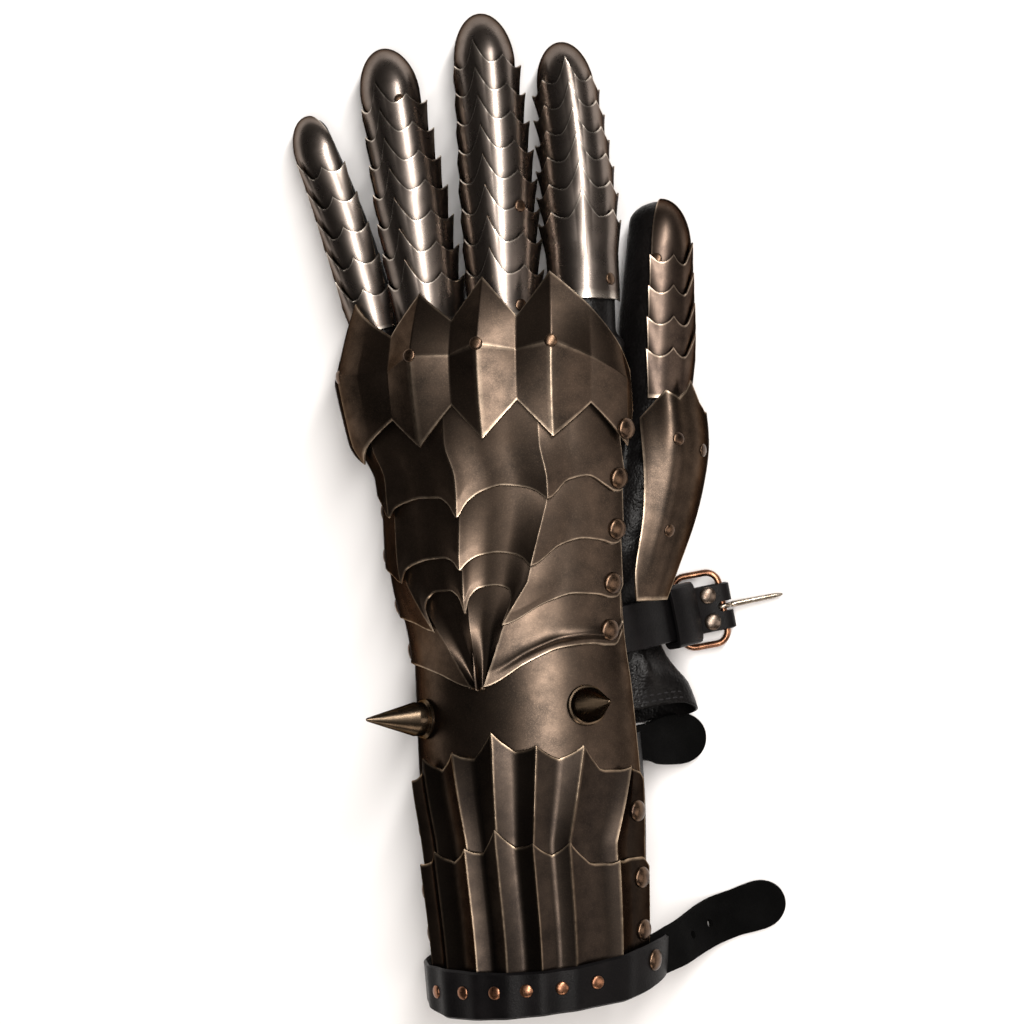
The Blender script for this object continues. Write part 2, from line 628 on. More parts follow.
# Blackened steel worn bright at its edges and creases: dark, with brown clouds.
plate_steel = steel_material("blackened_antique_steel", "2d2824", "584b41", "8f7a67", "c4b09a", 0.34)
angles = with_steps(KNUCKLES["angle"], 8)
lines = {key: np.interp(angles, KNUCKLES["angle"], KNUCKLES[key]) for key in ("front", "crest", "back", "rise")}
share = with_steps(np.array([0.0, 1.0, 2.0]), 14)[:, None]
y = np.where(share < 1, lines["front"] + (lines["crest"] - lines["front"]) * share,
             lines["crest"] + (lines["back"] - lines["crest"]) * (share - 1))
edge_rise = np.minimum(KNUCKLE_EDGE, lines["rise"])
fold = edge_rise + (lines["rise"] - edge_rise) * (1 - np.abs(share - 1))
grid = section_points(ARM_FORM, y, angles[None], STEEL_STEP * plates_passed(y) + fold)
points_down = near_lines(angles, KNUCKLE_POINTS, 0.8)[None] * (share > 0.98)
across = np.clip(1 - np.abs(share - 1) / 0.03, 0, 1) * near_lines(angles, (3.5, 32), 30)[None] * 0.5
crease = np.maximum(points_down * 0.45, across)
middle = np.array([-5, 50, 25])
knuckles = plate("knuckle_plate_finished", grid, STEEL, plate_steel, middle, crease)
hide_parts("knuckle_plate")


# ---- Hand lames ----
# Four steel lames over the back of the hand, each riveted at both ends and lying over the next one
# toward the wrist. Three ridges run down them and meet in a point; they are gently hollow between.

HAND_RIDGES = table("y left middle right", [
    (5, -53, -13, 26),
    (-26, -49, -14.5, 15),
    (-43, -36, -16, 0),
    (-65, -18, -15, -12),
])
RIDGE_LINES = np.array([-53.0, -13.0, 26.0])
PLATE_ENDS = (-100, 76)
HAND_EDGES = table("line first second third fourth", [
    (-98, 8, -20, -40, -58),
    (-87, 7, -21, -40, -57.5),
    (-76, 6, -22, -40.5, -58),
    (-64, 1.5, -24.3, -42, -60.5),
    (-53, -2, -26.5, -44.5, -65),
    (-49, 1.6, -21.8, -36.5, -65.1),
    (-43, 3.6, -19.4, -32.2, -65.3),
    (-33, 5.3, -17.6, -29.6, -65.5),
    (-23, 5.4, -17, -29.3, -65.6),
    (-17, 2.4, -18.4, -31.5, -65.7),
    (-13, -2, -21.5, -37.5, -65.7),
    (-9, 3.4, -18.6, -31.5, -65.7),
    (-3, 7.5, -16, -28, -65.6),
    (7, 10, -14.8, -27, -65.4),
    (16, 9.3, -15.5, -28.3, -65.1),
    (21, 7.9, -17, -32, -64.9),
    (26, 5.2, -19.6, -41.5, -64.5),
    (36, 12, -12, -33.5, -55.5),
    (46, 13.6, -9.6, -30, -50),
    (57, 9.8, -10.5, -30.5, -48.7),
    (63, 7.9, -11.6, -31.6, -49.2),
    (67, 8, -11.2, -31.4, -49.2),
    (71.5, 12.5, -6.5, -27, -44.5),
])
HAND_LAMES = (("first", 46), ("second", 17), ("third", -6), ("fourth", -24))


def followed(y, line, form, lines):
    """Angles of lines that follow the ridges of a form, and run straight on to a plate's two ends."""
    knots = [PLATE_ENDS[0], *lines, PLATE_ENDS[1]]
    ridges = [np.interp(y, form["y"], form[key]) for key in form if key != "y"]
    ends = [np.full_like(ridges[0], PLATE_ENDS[0]), *ridges, np.full_like(ridges[0], PLATE_ENDS[1])]
    angle = np.zeros(np.broadcast(y, line).shape)
    for k in range(len(knots) - 1):
        inside = (line >= knots[k]) & (line <= knots[k + 1])
        share = (line - knots[k]) / (knots[k + 1] - knots[k])
        angle = np.where(inside, ends[k] + (ends[k + 1] - ends[k]) * share, angle)
    return angle


def ridge_height(line, ridges, high, spread):
    return high * near_lines(line, ridges, spread) ** 1.6


def hand_lame_points(index, share, line):
    """Points on the outside of one hand lame."""
    edge, far = HAND_LAMES[index]
    near = eased(line, HAND_EDGES["line"], HAND_EDGES[edge])
    y = far + (near - far) * share
    roll = 1.0 * (index == 3) * np.exp(-(((share - 0.86) / 0.05) ** 2)) * np.clip((line - 22) / 20, 0, 1)
    rise = STEEL_STEP * (plates_passed(y) - index - 1)
    rise = rise + np.minimum(1, share * 1.15) * ridge_height(line, RIDGE_LINES, 2.9, 14) + roll
    return section_points(ARM_FORM, y, followed(y, line, HAND_RIDGES, RIDGE_LINES), rise)


knots = np.array([-98, -76, -53, -33, -13, 7, 26, 47, 62, 71.5])
share = np.concatenate([np.linspace(0, 0.8, 14), np.linspace(0.83, 0.97, 8), [0.98, 0.99, 1]])[:, None]
for index in range(len(HAND_LAMES)):
    lines = with_steps(knots, 16)
    grid = hand_lame_points(index, share, lines[None])
    crease = near_lines(lines, RIDGE_LINES, 0.7)[None] * 0.4 * share
    made = plate(f"hand_lame_{index + 1}_finished", grid, STEEL, plate_steel, np.array([0, 0, 20]), crease)
    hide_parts(f"hand_lame_{index + 1}")


# ---- Thumb plate ----
# A curved steel plate over the root of the thumb, with two peaks where it meets the lames and a
# rounded ridge that runs down from the first of them. It tapers to a point at the wrist.

THUMB_PLATE = table("y x z wide high lift left right", [
    (50, 56, 21, 17, 17, 0, -30, 96),
    (22, 54, 23.5, 21, 21, 0, -14, 98),
    (0, 50.5, 24.5, 20.5, 20.5, 0, -4, 78),
    (-21, 45.5, 25.5, 19.5, 19.5, 0, 2, 64),
    (-33, 42, 26.5, 19, 19, 0, 14, 60),
])
THUMB_EDGE = table("share y", [
    (0, 35.5), (0.14, 41), (0.27, 46), (0.4, 43), (0.5, 46), (0.58, 50), (0.68, 41.5), (0.78, 38), (1, 38),
])


def thumb_plate_points(share, row):
    tail = THUMB_PLATE["y"][0]
    y = tail + (np.interp(share, THUMB_EDGE["share"], THUMB_EDGE["y"]) - tail) * row
    left = eased(y, THUMB_PLATE["y"], THUMB_PLATE["left"])
    right = eased(y, THUMB_PLATE["y"], THUMB_PLATE["right"])
    rise = 2 * row * np.exp(-(((share - 0.3) / 0.11) ** 2))
    return section_points(THUMB_PLATE, y, left + (right - left) * share, rise)


share = with_steps(THUMB_EDGE["share"], 7)[None]
row = np.concatenate([[0, 0.02, 0.05], np.linspace(0.1, 0.96, 26), [0.975, 0.987, 1]])[:, None]
grid = thumb_plate_points(share, row)
thumb_plate = plate("thumb_plate_finished", grid, STEEL, plate_steel, np.array([50, 10, 20]))
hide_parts("thumb_plate")


# ---- Vambrace and spikes ----
# The forearm's main plate is a smooth gutter of blackened steel. Two turned spikes are screwed
# through it, each on a washer.

VAMBRACE_NEAR = -142


def vambrace_points(y, angle):
    return section_points(ARM_FORM, y, angle, STEEL_STEP * (plates_passed(y) - 5))


angle = with_steps(np.array([-98.0, 0.0, 55.0, 75.0]), 24)[None]
share = np.concatenate([[0, 0.006, 0.014], np.linspace(0.03, 0.98, 34), [0.99, 1]])[:, None]
far = np.interp(angle, [55, 75], [-44, -21])
grid = vambrace_points(far + (VAMBRACE_NEAR - far) * share, angle)
vambrace = plate("vambrace_finished", grid, STEEL, plate_steel, np.array([5, -100, 20]))
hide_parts("vambrace")


def facing_out(points_at, first, second, step=0.4):
    """A point of a surface and its normal there, from a function of two places on it."""
    centre = points_at(np.array(first), np.array(second))
    one = points_at(np.array(first + step), np.array(second)) - centre
    two = points_at(np.array(first), np.array(second + step)) - centre
    normal = np.cross(one, two)
    return centre, normal / np.linalg.norm(normal)


SPIKE_PROFILE = [(0, -1.5), (5, -1.5), (7.2, 0), (7.6, 0.3), (7.6, 0.9), (7.2, 1.3), (6.6, 1.4), (6.3, 1.7),
                 (6.35, 2), (6.35, 5.2), (6.2, 5.6), (0.75, 24.6), (0.45, 25.1), (0, 25.3)]
SPIKES = (("spike_side", -78, -57), ("spike_top", -71.5, 38))
# Turned steel: the smoothest of the steels, with the sharpest highlights.
spike_steel = steel_material("turned_steel", "40382f", "6a5b4b", "8a745b", "a99376", 0.26)
for name, y, angle in SPIKES:
    foot, normal = facing_out(lambda a, b: vambrace_points(b, a), angle, y)
    normal = normal * np.sign(normal @ (foot - np.array([5, y, 27])))
    cone = bmesh.new()
    verts = [cone.verts.new((radius, 0, up)) for radius, up in SPIKE_PROFILE]
    edges = [cone.edges.new(pair) for pair in zip(verts[:-1], verts[1:])]
    bmesh.ops.spin(cone, geom=verts + edges, cent=(0, 0, 0), axis=(0, 0, 1), angle=np.radians(360), steps=64,
                   use_merge=True, use_duplicate=False)
    bmesh.ops.remove_doubles(cone, verts=cone.verts, dist=1e-4)
    bmesh.ops.recalc_face_normals(cone, faces=cone.faces)
    turn = Vector(normal).to_track_quat("Z", "Y").to_matrix().to_4x4()
    cone.transform(Matrix.Translation(Vector(foot + normal * 0.4)) @ turn)
    points = [tuple(v.co) for v in cone.verts]
    cone.verts.index_update()
    made = mesh_object(f"{name}_turned", points, [tuple(v.index for v in f.verts) for f in cone.faces])
    cone.free()
    made.data.materials.append(spike_steel)
    smooth(made, 30)
    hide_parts(name)


# ---- Fluted plates ----
# Two steel plates over the forearm, pressed into hollow flutes between sharp ridges. Each flute's
# upper edge is scooped, with a cusp on every ridge, and the cuff covers the end of the lower plate.

ARM_RIDGES = table("y a b c d e f g", [
    (-87, -70, -53, -31.5, -10, 10.4, 32.7, 62),
    (-122, -64, -48, -28, -12, 5, 21.5, 46),
])
FLUTE_LINES = np.array([-64, -48, -28, -12, 5, 21.5, 46.0])
FLUTED_EDGES = table("line upper lower", [
    (-98, -109, -140),
    (-80, -106, -137.5),
    (-64, -103, -134),
    (-48, -93.8, -128),
    (-38, -96.4, -130.2),
    (-28, -90.6, -125.5),
    (-20, -91.5, -126),
    (-12, -82.5, -117.8),
    (-3.5, -88.3, -123.4),
    (5, -87, -122.5),
    (13, -91, -126),
    (21.5, -87, -122),
    (32, -95.5, -129.5),
    (46, -95.5, -129.5),
    (54, -95.5, -128.5),
    (66, -97, -128.5),
    (71, -99.5, -132),
])


def fluted_points(rise, y, line):
    angle = followed(y, line, ARM_RIDGES, FLUTE_LINES)
    return section_points(ARM_FORM, y, angle, rise + ridge_height(line, FLUTE_LINES, 2.6, 10))


def scooped(line, key):
    """A fluted plate's upper edge: a round scoop between cusps."""
    straight = np.interp(line, FLUTED_EDGES["line"], FLUTED_EDGES[key])
    return straight + 1.3 * near_lines(line, FLUTE_LINES, 5) ** 2


# The darkest steel, on which the worn ridges of the flutes stand out as thin pale lines.
dark_steel = steel_material("dark_antique_steel", "211d1b", "3b332d", "5d5044", "a9957f", 0.34)
for key, rise, near in (("upper", 2.4, -144), ("lower", 4.1, -178)):
    lines = with_steps(np.array([-98, -80, *FLUTE_LINES, 56, 71]), 14)
    far = scooped(lines, key)[None]
    share = np.concatenate([[0, 0.008, 0.018, 0.03], np.linspace(0.05, 1, 26)])[:, None]
    y = far + (near - far) * share
    grid = fluted_points(rise, y, lines[None])
    crease = near_lines(lines, FLUTE_LINES, 0.6)[None] * 0.55 + 0 * share
    made = plate(f"fluted_plate_{key}_finished", grid, STEEL, dark_steel, np.array([10, -130, 25]), crease)
    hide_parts(f"fluted_plate_{key}")


# ---- Sleeve ----
# Smooth black leather that backs the forearm plates and lies on its two long lips.

SLEEVE_LEATHER = 1.8
SLEEVE_FRONT = -83
SLEEVE_BACK = -184
# Firm strap leather: a finer grain, less relief and a duller sheen than the glove's.
strap_leather = leather_material("black_strap_leather", "0a090a", "131112", 0.5, 0.42, 0.22, 0.1)
angle = np.linspace(-152, 152, 97)[None]
slant = 10 * np.sin(np.radians(np.clip(angle, 0, 90)))
y = SLEEVE_FRONT + (SLEEVE_BACK + slant - SLEEVE_FRONT) * np.linspace(0, 1, 40)[:, None]
grid = section_points(ARM_FORM, y, angle, -STEEL - 0.3)
grid[..., 2] = np.maximum(grid[..., 2], 0.02)
lip = np.clip((np.abs(angle) - 138) / 14, 0, 1)
grid[..., 2] = grid[..., 2] * (1 - lip) + 0.02 * lip
sleeve = plate("sleeve", grid, SLEEVE_LEATHER, strap_leather, np.array([5, -130, 26]))
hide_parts("leather_sleeve")


# ---- Cuff band ----
# A band of black strap leather round the end of the forearm, riveted over the lower fluted plate.

STRAP = 2
CUFF = table("line far near", [
    (-104, -171, -183.5),
    (-76, -171, -185),
    (-48, -170.7, -187.5),
    (-20, -170, -186),
    (5, -168.5, -183.5),
    (24, -166.5, -181.5),
    (46, -163.6, -179.4),
    (58, -162, -178),
    (74, -160.3, -175.5),
    (88, -160, -173.5),
])
CUFF_DRAPE = 0.45
CUFF_RISE = 4.1 + 0.3 + STRAP


def cuff_points(share, line):
    """The band dips a little between the ridges that it is drawn over."""
    far = eased(line, CUFF["line"], CUFF["far"])
    near = eased(line, CUFF["line"], CUFF["near"])
    gaps = (np.asarray(line)[..., None] - FLUTE_LINES) / 5.5
    ridge = 2.4 * np.exp(-gaps**2).sum(axis=-1)
    rise = CUFF_RISE + 2.4 + (ridge - 2.4) * CUFF_DRAPE
    return section_points(ARM_FORM, far + (near - far) * share, line, rise)


share = np.concatenate([[0, 0.03, 0.08], np.linspace(0.15, 0.85, 8), [0.92, 0.97, 1]])[:, None]
grid = cuff_points(share, np.linspace(-104, 88, 121)[None])
cuff = plate("cuff", grid, STRAP, strap_leather, np.array([12, -178, 25]))
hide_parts("cuff_band")


# ---- Straps ----
# Black strap leather: one folded round the buckle's bar at the wrist with a keeper round it, a short
# tongue below the hem, and a strap from the cuff that ends in a petal and has two holes.

EDGE_BOW = 0.4  # how far a strap's rounded edges stand out


def strip_points(start, heading, path, depth):
    """The outside of a strap along a path of out, up and half width, with rows across it."""
    along = np.array([np.cos(np.radians(heading)), np.sin(np.radians(heading)), 0])
    across = np.array([-along[1], along[0], 0])
    knots = np.concatenate([[0], np.cumsum(np.linalg.norm(np.diff(path[:, :2], axis=0), axis=1))])
    places = knots[-1] * (1 - (1 - np.linspace(0, 1, 120)) ** 1.5)
    out, up, half = (eased(places, knots, path[:, k]) for k in range(3))
    middle = np.array(start, float) + along * out[:, None] + np.array([0, 0, 1.0]) * up[:, None]
    normal = np.cross(np.gradient(middle, axis=0), across)
    normal = -normal / np.linalg.norm(normal, axis=1, keepdims=True)
    wide = np.array([-1, -0.985, -0.94, -0.8, -0.5, 0, 0.5, 0.8, 0.94, 0.985, 1])
    outside = middle + normal * depth
    return outside[:, None] + across * (half[:, None] * wide[None])[..., None], normal


def strap(name, start, heading, path, node, material):
    """A strap as a closed strip with rounded edges."""
    path = np.array(path, float)
    outside, normal = strip_points(start, heading, path, STRAP / 2)
    inside, normal = strip_points(start, heading, path, -STRAP / 2)
    middle = (outside + inside) / 2
    width = middle[:, -1:] - middle[:, :1]
    bow = width / np.linalg.norm(width, axis=-1, keepdims=True) * EDGE_BOW
    ring = np.concatenate([outside, middle[:, -1:] + bow, inside[:, ::-1], middle[:, :1] - bow], axis=1)
    points, faces = skin_of_rings(ring)
    made = mesh_object(name, points, faces)
    face_out(made)
    made.data.materials.append(material)
    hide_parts(node)
    return made


BAR_OUT = 44.8
BAR_UP = 4.7
BAR_RADIUS = 1.3
WRIST_START = (38, -45, 0)
WRIST_HEADING = 11
WRIST_HALF = 8.6
FOLD = BAR_RADIUS + 0.4 + STRAP / 2
wrist_path = [(0, 38.5), (7, 37), (13, 32.5), (19, 25.5), (24, 18.6), (29, 12.8), (34, 9)]
wrist_path += [(40, BAR_UP + FOLD + 0.2)]
for turn in np.radians(np.arange(0, 181, 20)):
    wrist_path.append((BAR_OUT + FOLD * np.sin(turn), BAR_UP + FOLD * np.cos(turn)))
wrist_path += [(40, BAR_UP - FOLD + 0.5), (36.5, 4.2), (34, 5.4)]
wrist_path = [(out, up, WRIST_HALF) for out, up in wrist_path]
wrist_strap = strap("wrist_strap_folded", WRIST_START, WRIST_HEADING, wrist_path, "wrist_strap", strap_leather)


def placed(out, across, up, heading=WRIST_HEADING, start=WRIST_START):
    """A place given along and across a strap, on the hand's own axes."""
    turn = np.radians(heading)
    x = start[0] + out * np.cos(turn) - across * np.sin(turn)
    y = start[1] + out * np.sin(turn) + across * np.cos(turn)
    return np.stack(np.broadcast_arrays(x, y, up), axis=-1)


def cut_away(target, cutter_points, cutter_faces):
    """Cuts a closed form out of a piece."""
    cutter = mesh_object("cutter", cutter_points, cutter_faces)
    face_out(cutter)
    finished(target, [("BOOLEAN", dict(operation="DIFFERENCE", solver="EXACT", object=cutter))])
    bpy.data.objects.remove(cutter)


# The prong's slot, with round ends, through both layers of the fold.
turn = np.radians(np.arange(0, 360, 15))
slot_x = BAR_OUT + 3 + np.cos(turn) * 2 + np.sign(np.cos(turn)) * 3.2
slot_rings = np.stack([placed(slot_x, 2 * np.sin(turn), up) for up in (BAR_UP - 7, BAR_UP + 7)])
cut_away(wrist_strap, *skin_of_rings(slot_rings))
smooth(wrist_strap, 40)


def round_end(out, up, half, length, end_up):
    """The last points of a strap's path, narrowing to a half-round end."""
    shares = np.sin(np.radians([0, 18, 34, 48, 60, 70, 78, 84, 88]))
    return [(out + length * share, end_up + (up - end_up) * (1 - share) ** 1.5, half * (1 - share**2) ** 0.5)
            for share in shares]


tongue_path = [(-9, 27, 5.6), (-4, 23.5, 6.3), (0, 20, 7), (4, 16, 8.6), (9, 9.5, 9.4)]
tongue_path += round_end(13, 5.4, 9.6, 10.6, 1.1)
# Suede: rough all over, so nearly black, with almost no sheen.
suede = leather_material("black_suede", "040404", "090909", 0.35, 0.9, 0.5, 0.06)
tongue = strap("tongue", (52, -88, 0), 0, tongue_path, "strap_tongue", suede)
smooth(tongue, 40)

cuff_strap_path = [(-8, 39.5, 7.4), (-4, 36.8, 7.7), (0, 33, 8), (4, 29, 8.2), (9, 20, 8.4), (15, 9.5, 8.7)]
cuff_strap_path += [(21, 3.2, 8.8), (28, 1.3, 8.7), (34, 1.2, 9.1)] + round_end(38, 1.2, 9.2, 10.6, 1.2)
CUFF_STRAP_START = (60, -165, 0)
CUFF_STRAP_HEADING = 18
cuff_strap = strap("cuff_strap_end", CUFF_STRAP_START, CUFF_STRAP_HEADING, cuff_strap_path, "cuff_strap", suede)
HOLE = 1.7
for out, up, tilt in ((9, 20, 62), (17, 7, 48)):
    turned = np.radians(tilt)
    rings = []
    for depth in (-5, 5):
        x = out + HOLE * np.cos(turn) * np.cos(turned) + depth * np.sin(turned)
        z = up - HOLE * np.cos(turn) * np.sin(turned) + depth * np.cos(turned)
        rings.append(placed(x, HOLE * np.sin(turn), z, CUFF_STRAP_HEADING, CUFF_STRAP_START))
    cut_away(cuff_strap, *skin_of_rings(np.stack(rings)))
smooth(cuff_strap, 40)

KEEPER = dict(wide=24, high=8.6, wall=1.8, long=15, out=27, up=15, slope=49)
turn = np.radians(np.arange(0, 360, 7.5))


def keeper_ring(inset, x):
    across = (KEEPER["wide"] / 2 - inset) * np.sign(np.cos(turn)) * np.abs(np.cos(turn)) ** 0.4
    up = (KEEPER["high"] / 2 - inset) * np.sign(np.sin(turn)) * np.abs(np.sin(turn)) ** 0.4
    slope = np.radians(KEEPER["slope"])
    out = KEEPER["out"] + x * np.cos(slope) + up * np.sin(slope)
    return placed(out, across, KEEPER["up"] - x * np.sin(slope) + up * np.cos(slope))


def joined_rings(rings):
    """Points and faces of a tube through rings of points whose last ring joins the first."""
    rows, count = rings.shape[:2]
    steps = np.arange(rows * count).reshape(rows, count)
    after = np.roll(steps, -1, axis=0)
    corners = [steps, np.roll(steps, -1, axis=1), np.roll(after, -1, axis=1), after]
    return rings.reshape(-1, 3), np.stack(corners, axis=-1).reshape(-1, 4).tolist()


half, wall, chamfer = KEEPER["long"] / 2, KEEPER["wall"], 0.4
loop = [(0.3, -half), (0, -half + chamfer), (0, half - chamfer), (0.3, half), (wall - 0.3, half),
        (wall, half - chamfer), (wall, -half + chamfer), (wall - 0.3, -half)]
keeper = mesh_object("keeper", *joined_rings(np.stack([keeper_ring(inset, x) for inset, x in loop])))
face_out(keeper)
keeper.data.materials.append(strap_leather)
smooth(keeper, 40)
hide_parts("strap_keeper")


# ---- Buckle ----
# A copper-plated wire frame, folded back under the strap round its heel bar, and a nickel prong
# that hooks over the same bar through the slot and points outward.


def metal_material(name, body, tarnish, rough):
    """Plated metal: tarnished in soft patches, with fine handling marks."""
    material, tree, shader, coordinates = new_material(name)
    patches = ranged(tree, noise(tree, coordinates, 3.5, detail=5), 0.38, 0.66)
    tree.links.new(blended(tree, patches, linear(body), linear(tarnish)), shader.inputs["Base Color"])
    marks = ranged(tree, noise(tree, coordinates, 0.5, detail=4), 0.3, 0.7, rough - 0.07, rough + 0.12)
    tree.links.new(marks, shader.inputs["Roughness"])
    relief = add_node(tree, "ShaderNodeBump", {"Height": marks, "Strength": 0.15, "Distance": 0.05 * MM})
    tree.links.new(relief.outputs["Normal"], shader.inputs["Normal"])
    shader.inputs["Metallic"].default_value = 1
    return material


def wire(name, path, radii, closed, body, node, material):
    """A round wire along a path on the hand's own axes, as a closed mesh."""
    path, radii = np.asarray(path, float), np.broadcast_to(radii, len(path))
    if closed:
        along = np.roll(path, -1, axis=0) - np.roll(path, 1, axis=0)
    else:
        along = np.gradient(path, axis=0)
    along /= np.linalg.norm(along, axis=1, keepdims=True)
    side = np.cross(along, (0.15, 0.1, 1))
    side /= np.linalg.norm(side, axis=1, keepdims=True)
    up = np.cross(side, along)
    turn = np.radians(np.arange(0, 360, 22.5))[None, :, None]
    rings = path[:, None] + radii[:, None, None] * (side[:, None] * np.cos(turn) + up[:, None] * np.sin(turn))
    made = mesh_object(name, *(joined_rings(rings) if closed else skin_of_rings(rings)), body)
    face_out(made)
    made.data.materials.append(material)
    smooth(made, 60)
    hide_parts(node)
    return made


# Warm copper, pale nickel, brown bronze and a darker nickel, tarnished but smooth enough to glint.
copper = metal_material("antique_copper", "a2755a", "6b4a39", 0.3)
nickel = metal_material("worn_nickel", "b9b0a4", "857868", 0.26)
bronze = metal_material("antique_bronze", "6b5645", "453830", 0.3)
dull_nickel = metal_material("dull_nickel", "80746a", "584a40", 0.3)
FRAME = dict(long=18, half=14, corner=5, down=8)
quarter = np.radians(np.linspace(0, 90, 9))
corners = []
for x, y, start in ((0, 1, 0), (-1, 1, 90), (-1, -1, 180), (0, -1, 270)):
    turn = quarter + np.radians(start)
    middle_x = -FRAME["corner"] if x == 0 else -FRAME["long"] + FRAME["corner"]
    middle_y = y * (FRAME["half"] - FRAME["corner"])
    corners.append(np.stack([middle_x + FRAME["corner"] * np.cos(turn),
                             middle_y + FRAME["corner"] * np.sin(turn)]))
outline = np.concatenate(corners, axis=1)
lowered = np.radians(FRAME["down"])
# Its far side dips toward the surface that the piece lies on.
path = placed(BAR_OUT + outline[0] * np.cos(lowered), outline[1], BAR_UP + outline[0] * np.sin(lowered))
wire("buckle_wire_frame", path, BAR_RADIUS, True, "frame", "buckle_frame", copper)

PRONG = dict(ring=2.7, long=24, down=7)
turn = np.radians(np.linspace(300, 0, 22))
hook_x = PRONG["ring"] * np.cos(turn)
hook_z = PRONG["ring"] * np.sin(turn)
shank = np.linspace(PRONG["ring"], PRONG["long"], 16)[1:]
x = np.concatenate([hook_x, shank])
z = np.concatenate([hook_z, 0 * shank])
radii = np.concatenate([np.full(len(turn), 0.95), np.linspace(1.25, 0.95, 13), [0.75, 0.4]])
lowered = np.radians(PRONG["down"])
path = placed(BAR_OUT + x * np.cos(lowered) + z * np.sin(lowered), 0,
              BAR_UP - x * np.sin(lowered) + z * np.cos(lowered))
wire("buckle_wire_prong", path, radii, False, "prong", "buckle_prong", nickel)


# ---- Rivets ----
# Bronze rivets on the plates and the lames, copper ones round the cuff and dull nickel ones in the
# strap: one domed form, stood on points.


def new_tree(name, lengths):
    """A node tree that takes geometry, some lengths and a material, with the outputs of its group input."""
    tree = bpy.data.node_groups.new(name, "GeometryNodeTree")
    face = tree.interface
    face.new_socket("Geometry", in_out="INPUT", socket_type="NodeSocketGeometry")
    for length in lengths:
        face.new_socket(length, in_out="INPUT", socket_type="NodeSocketFloat")
    face.new_socket("Material", in_out="INPUT", socket_type="NodeSocketMaterial")
    face.new_socket("Geometry", in_out="OUTPUT", socket_type="NodeSocketGeometry")
    return tree, add_node(tree, "NodeGroupInput").outputs


def ball(tree, segments, rings, radius, height):
    """A unit ball scaled to a radius and a height."""
    inputs = {"Segments": segments, "Rings": rings, "Radius": 1.0}
    whole = add_node(tree, "GeometryNodeMeshUVSphere", inputs).outputs["Mesh"]
    size = add_node(tree, "ShaderNodeCombineXYZ", {"X": radius, "Y": radius, "Z": height}).outputs["Vector"]
    return add_node(tree, "GeometryNodeTransform", {"Geometry": whole, "Scale": size}).outputs["Geometry"]


def stood(tree, points, form, facing, material, shaded):
    """Stands a form on points along a direction, as plain painted mesh."""
    turned = add_node(tree, "FunctionNodeAlignRotationToVector", {"Vector": facing}, axis="Z")
    inputs = {"Points": points, "Instance": form, "Rotation": turned.outputs["Rotation"]}
    many = add_node(tree, "GeometryNodeInstanceOnPoints", inputs).outputs["Instances"]
    real = add_node(tree, "GeometryNodeRealizeInstances", {"Geometry": many}).outputs["Geometry"]
    if shaded:
        real = add_node(tree, "GeometryNodeSetShadeSmooth", {"Geometry": real}).outputs["Geometry"]
    painted = add_node(tree, "GeometryNodeSetMaterial", {"Geometry": real, "Material": material})
    add_node(tree, "NodeGroupOutput", {"Geometry": painted.outputs["Geometry"]})
    return tree


def rivet_tree():
    """Stands a domed head on each point of a mesh, along the point's attribute `facing`."""
    tree, given = new_tree("rivet_heads", ("Radius", "Height"))
    dome = ball(tree, 28, 14, given["Radius"], given["Height"])
    facing = add_node(tree, "GeometryNodeInputNamedAttribute", {"Name": "facing"}, data_type="FLOAT_VECTOR")
    return stood(tree, given["Geometry"], dome, facing.outputs["Attribute"], given["Material"], True)


RIVET_TREE = rivet_tree()


def grown(name, points, tree, values, attributes=None, edges=()):
    """The plain mesh that a node tree grows on some points."""
    seeds = mesh_object(name, points, [])
    if len(edges):
        mesh = bpy.data.meshes.new(name)
        mesh.from_pydata([tuple(v.co) for v in seeds.data.vertices], list(edges), [])
        seeds.data = mesh
    for key, value in (attributes or {}).items():
        kept = seeds.data.attributes.new(key, "FLOAT_VECTOR", "POINT")
        kept.data.foreach_set("vector", np.asarray(value, np.float32).ravel())
    modifier = seeds.modifiers.new(tree.name, "NODES")
    modifier.node_group = tree
    for item in tree.interface.items_tree:
        if item.in_out == "INPUT" and item.name in values:
            modifier[item.identifier] = values[item.name]
    bpy.context.view_layer.update()
    whole = bpy.data.meshes.new_from_object(seeds.evaluated_get(bpy.context.evaluated_depsgraph_get()))
    seeds.modifiers.clear()
    seeds.data = whole
    return seeds


def rivets(name, places, radius, height, metal):
    """Rivets at places, each a point and a normal."""
    points = np.array([point for point, normal in places])
    normals = np.array([normal for point, normal in places])
    values = {"Radius": radius * MM, "Height": height * MM, "Material": metal}
    made = grown(name, points, RIVET_TREE, values, {"facing": normals})
    return made


def outward_from(heart, point, normal):
    return point, normal * np.sign(normal @ (point - np.asarray(heart, float)))


def on_arm(y, angle, rise):
    """A place on the arm's form, raised, and its normal."""
    point, normal = facing_out(lambda a, b: section_points(ARM_FORM, a, b, rise), y, angle)
    heart = [np.interp(y, ARM_FORM["y"], ARM_FORM["x"]), y, 27]
    return outward_from(heart, point, normal)


def on_finger(name, from_tip, angle):
    """A place on the lame that shows at a distance from a finger's tip."""
    finger = FINGERS[name]
    passed = (from_tip - finger["first"] + scallop(angle)) / finger["pitch"] + 1
    order = np.clip(np.floor(passed), 0, finger["lames"])
    radius = finger_radius(finger, from_tip) + lame_rise(finger, order, from_tip)
    point = finger_points(finger, from_tip, angle, radius)
    centre = finger_points(finger, from_tip, angle, 0)
    return point, (point - centre) / np.linalg.norm(point - centre)


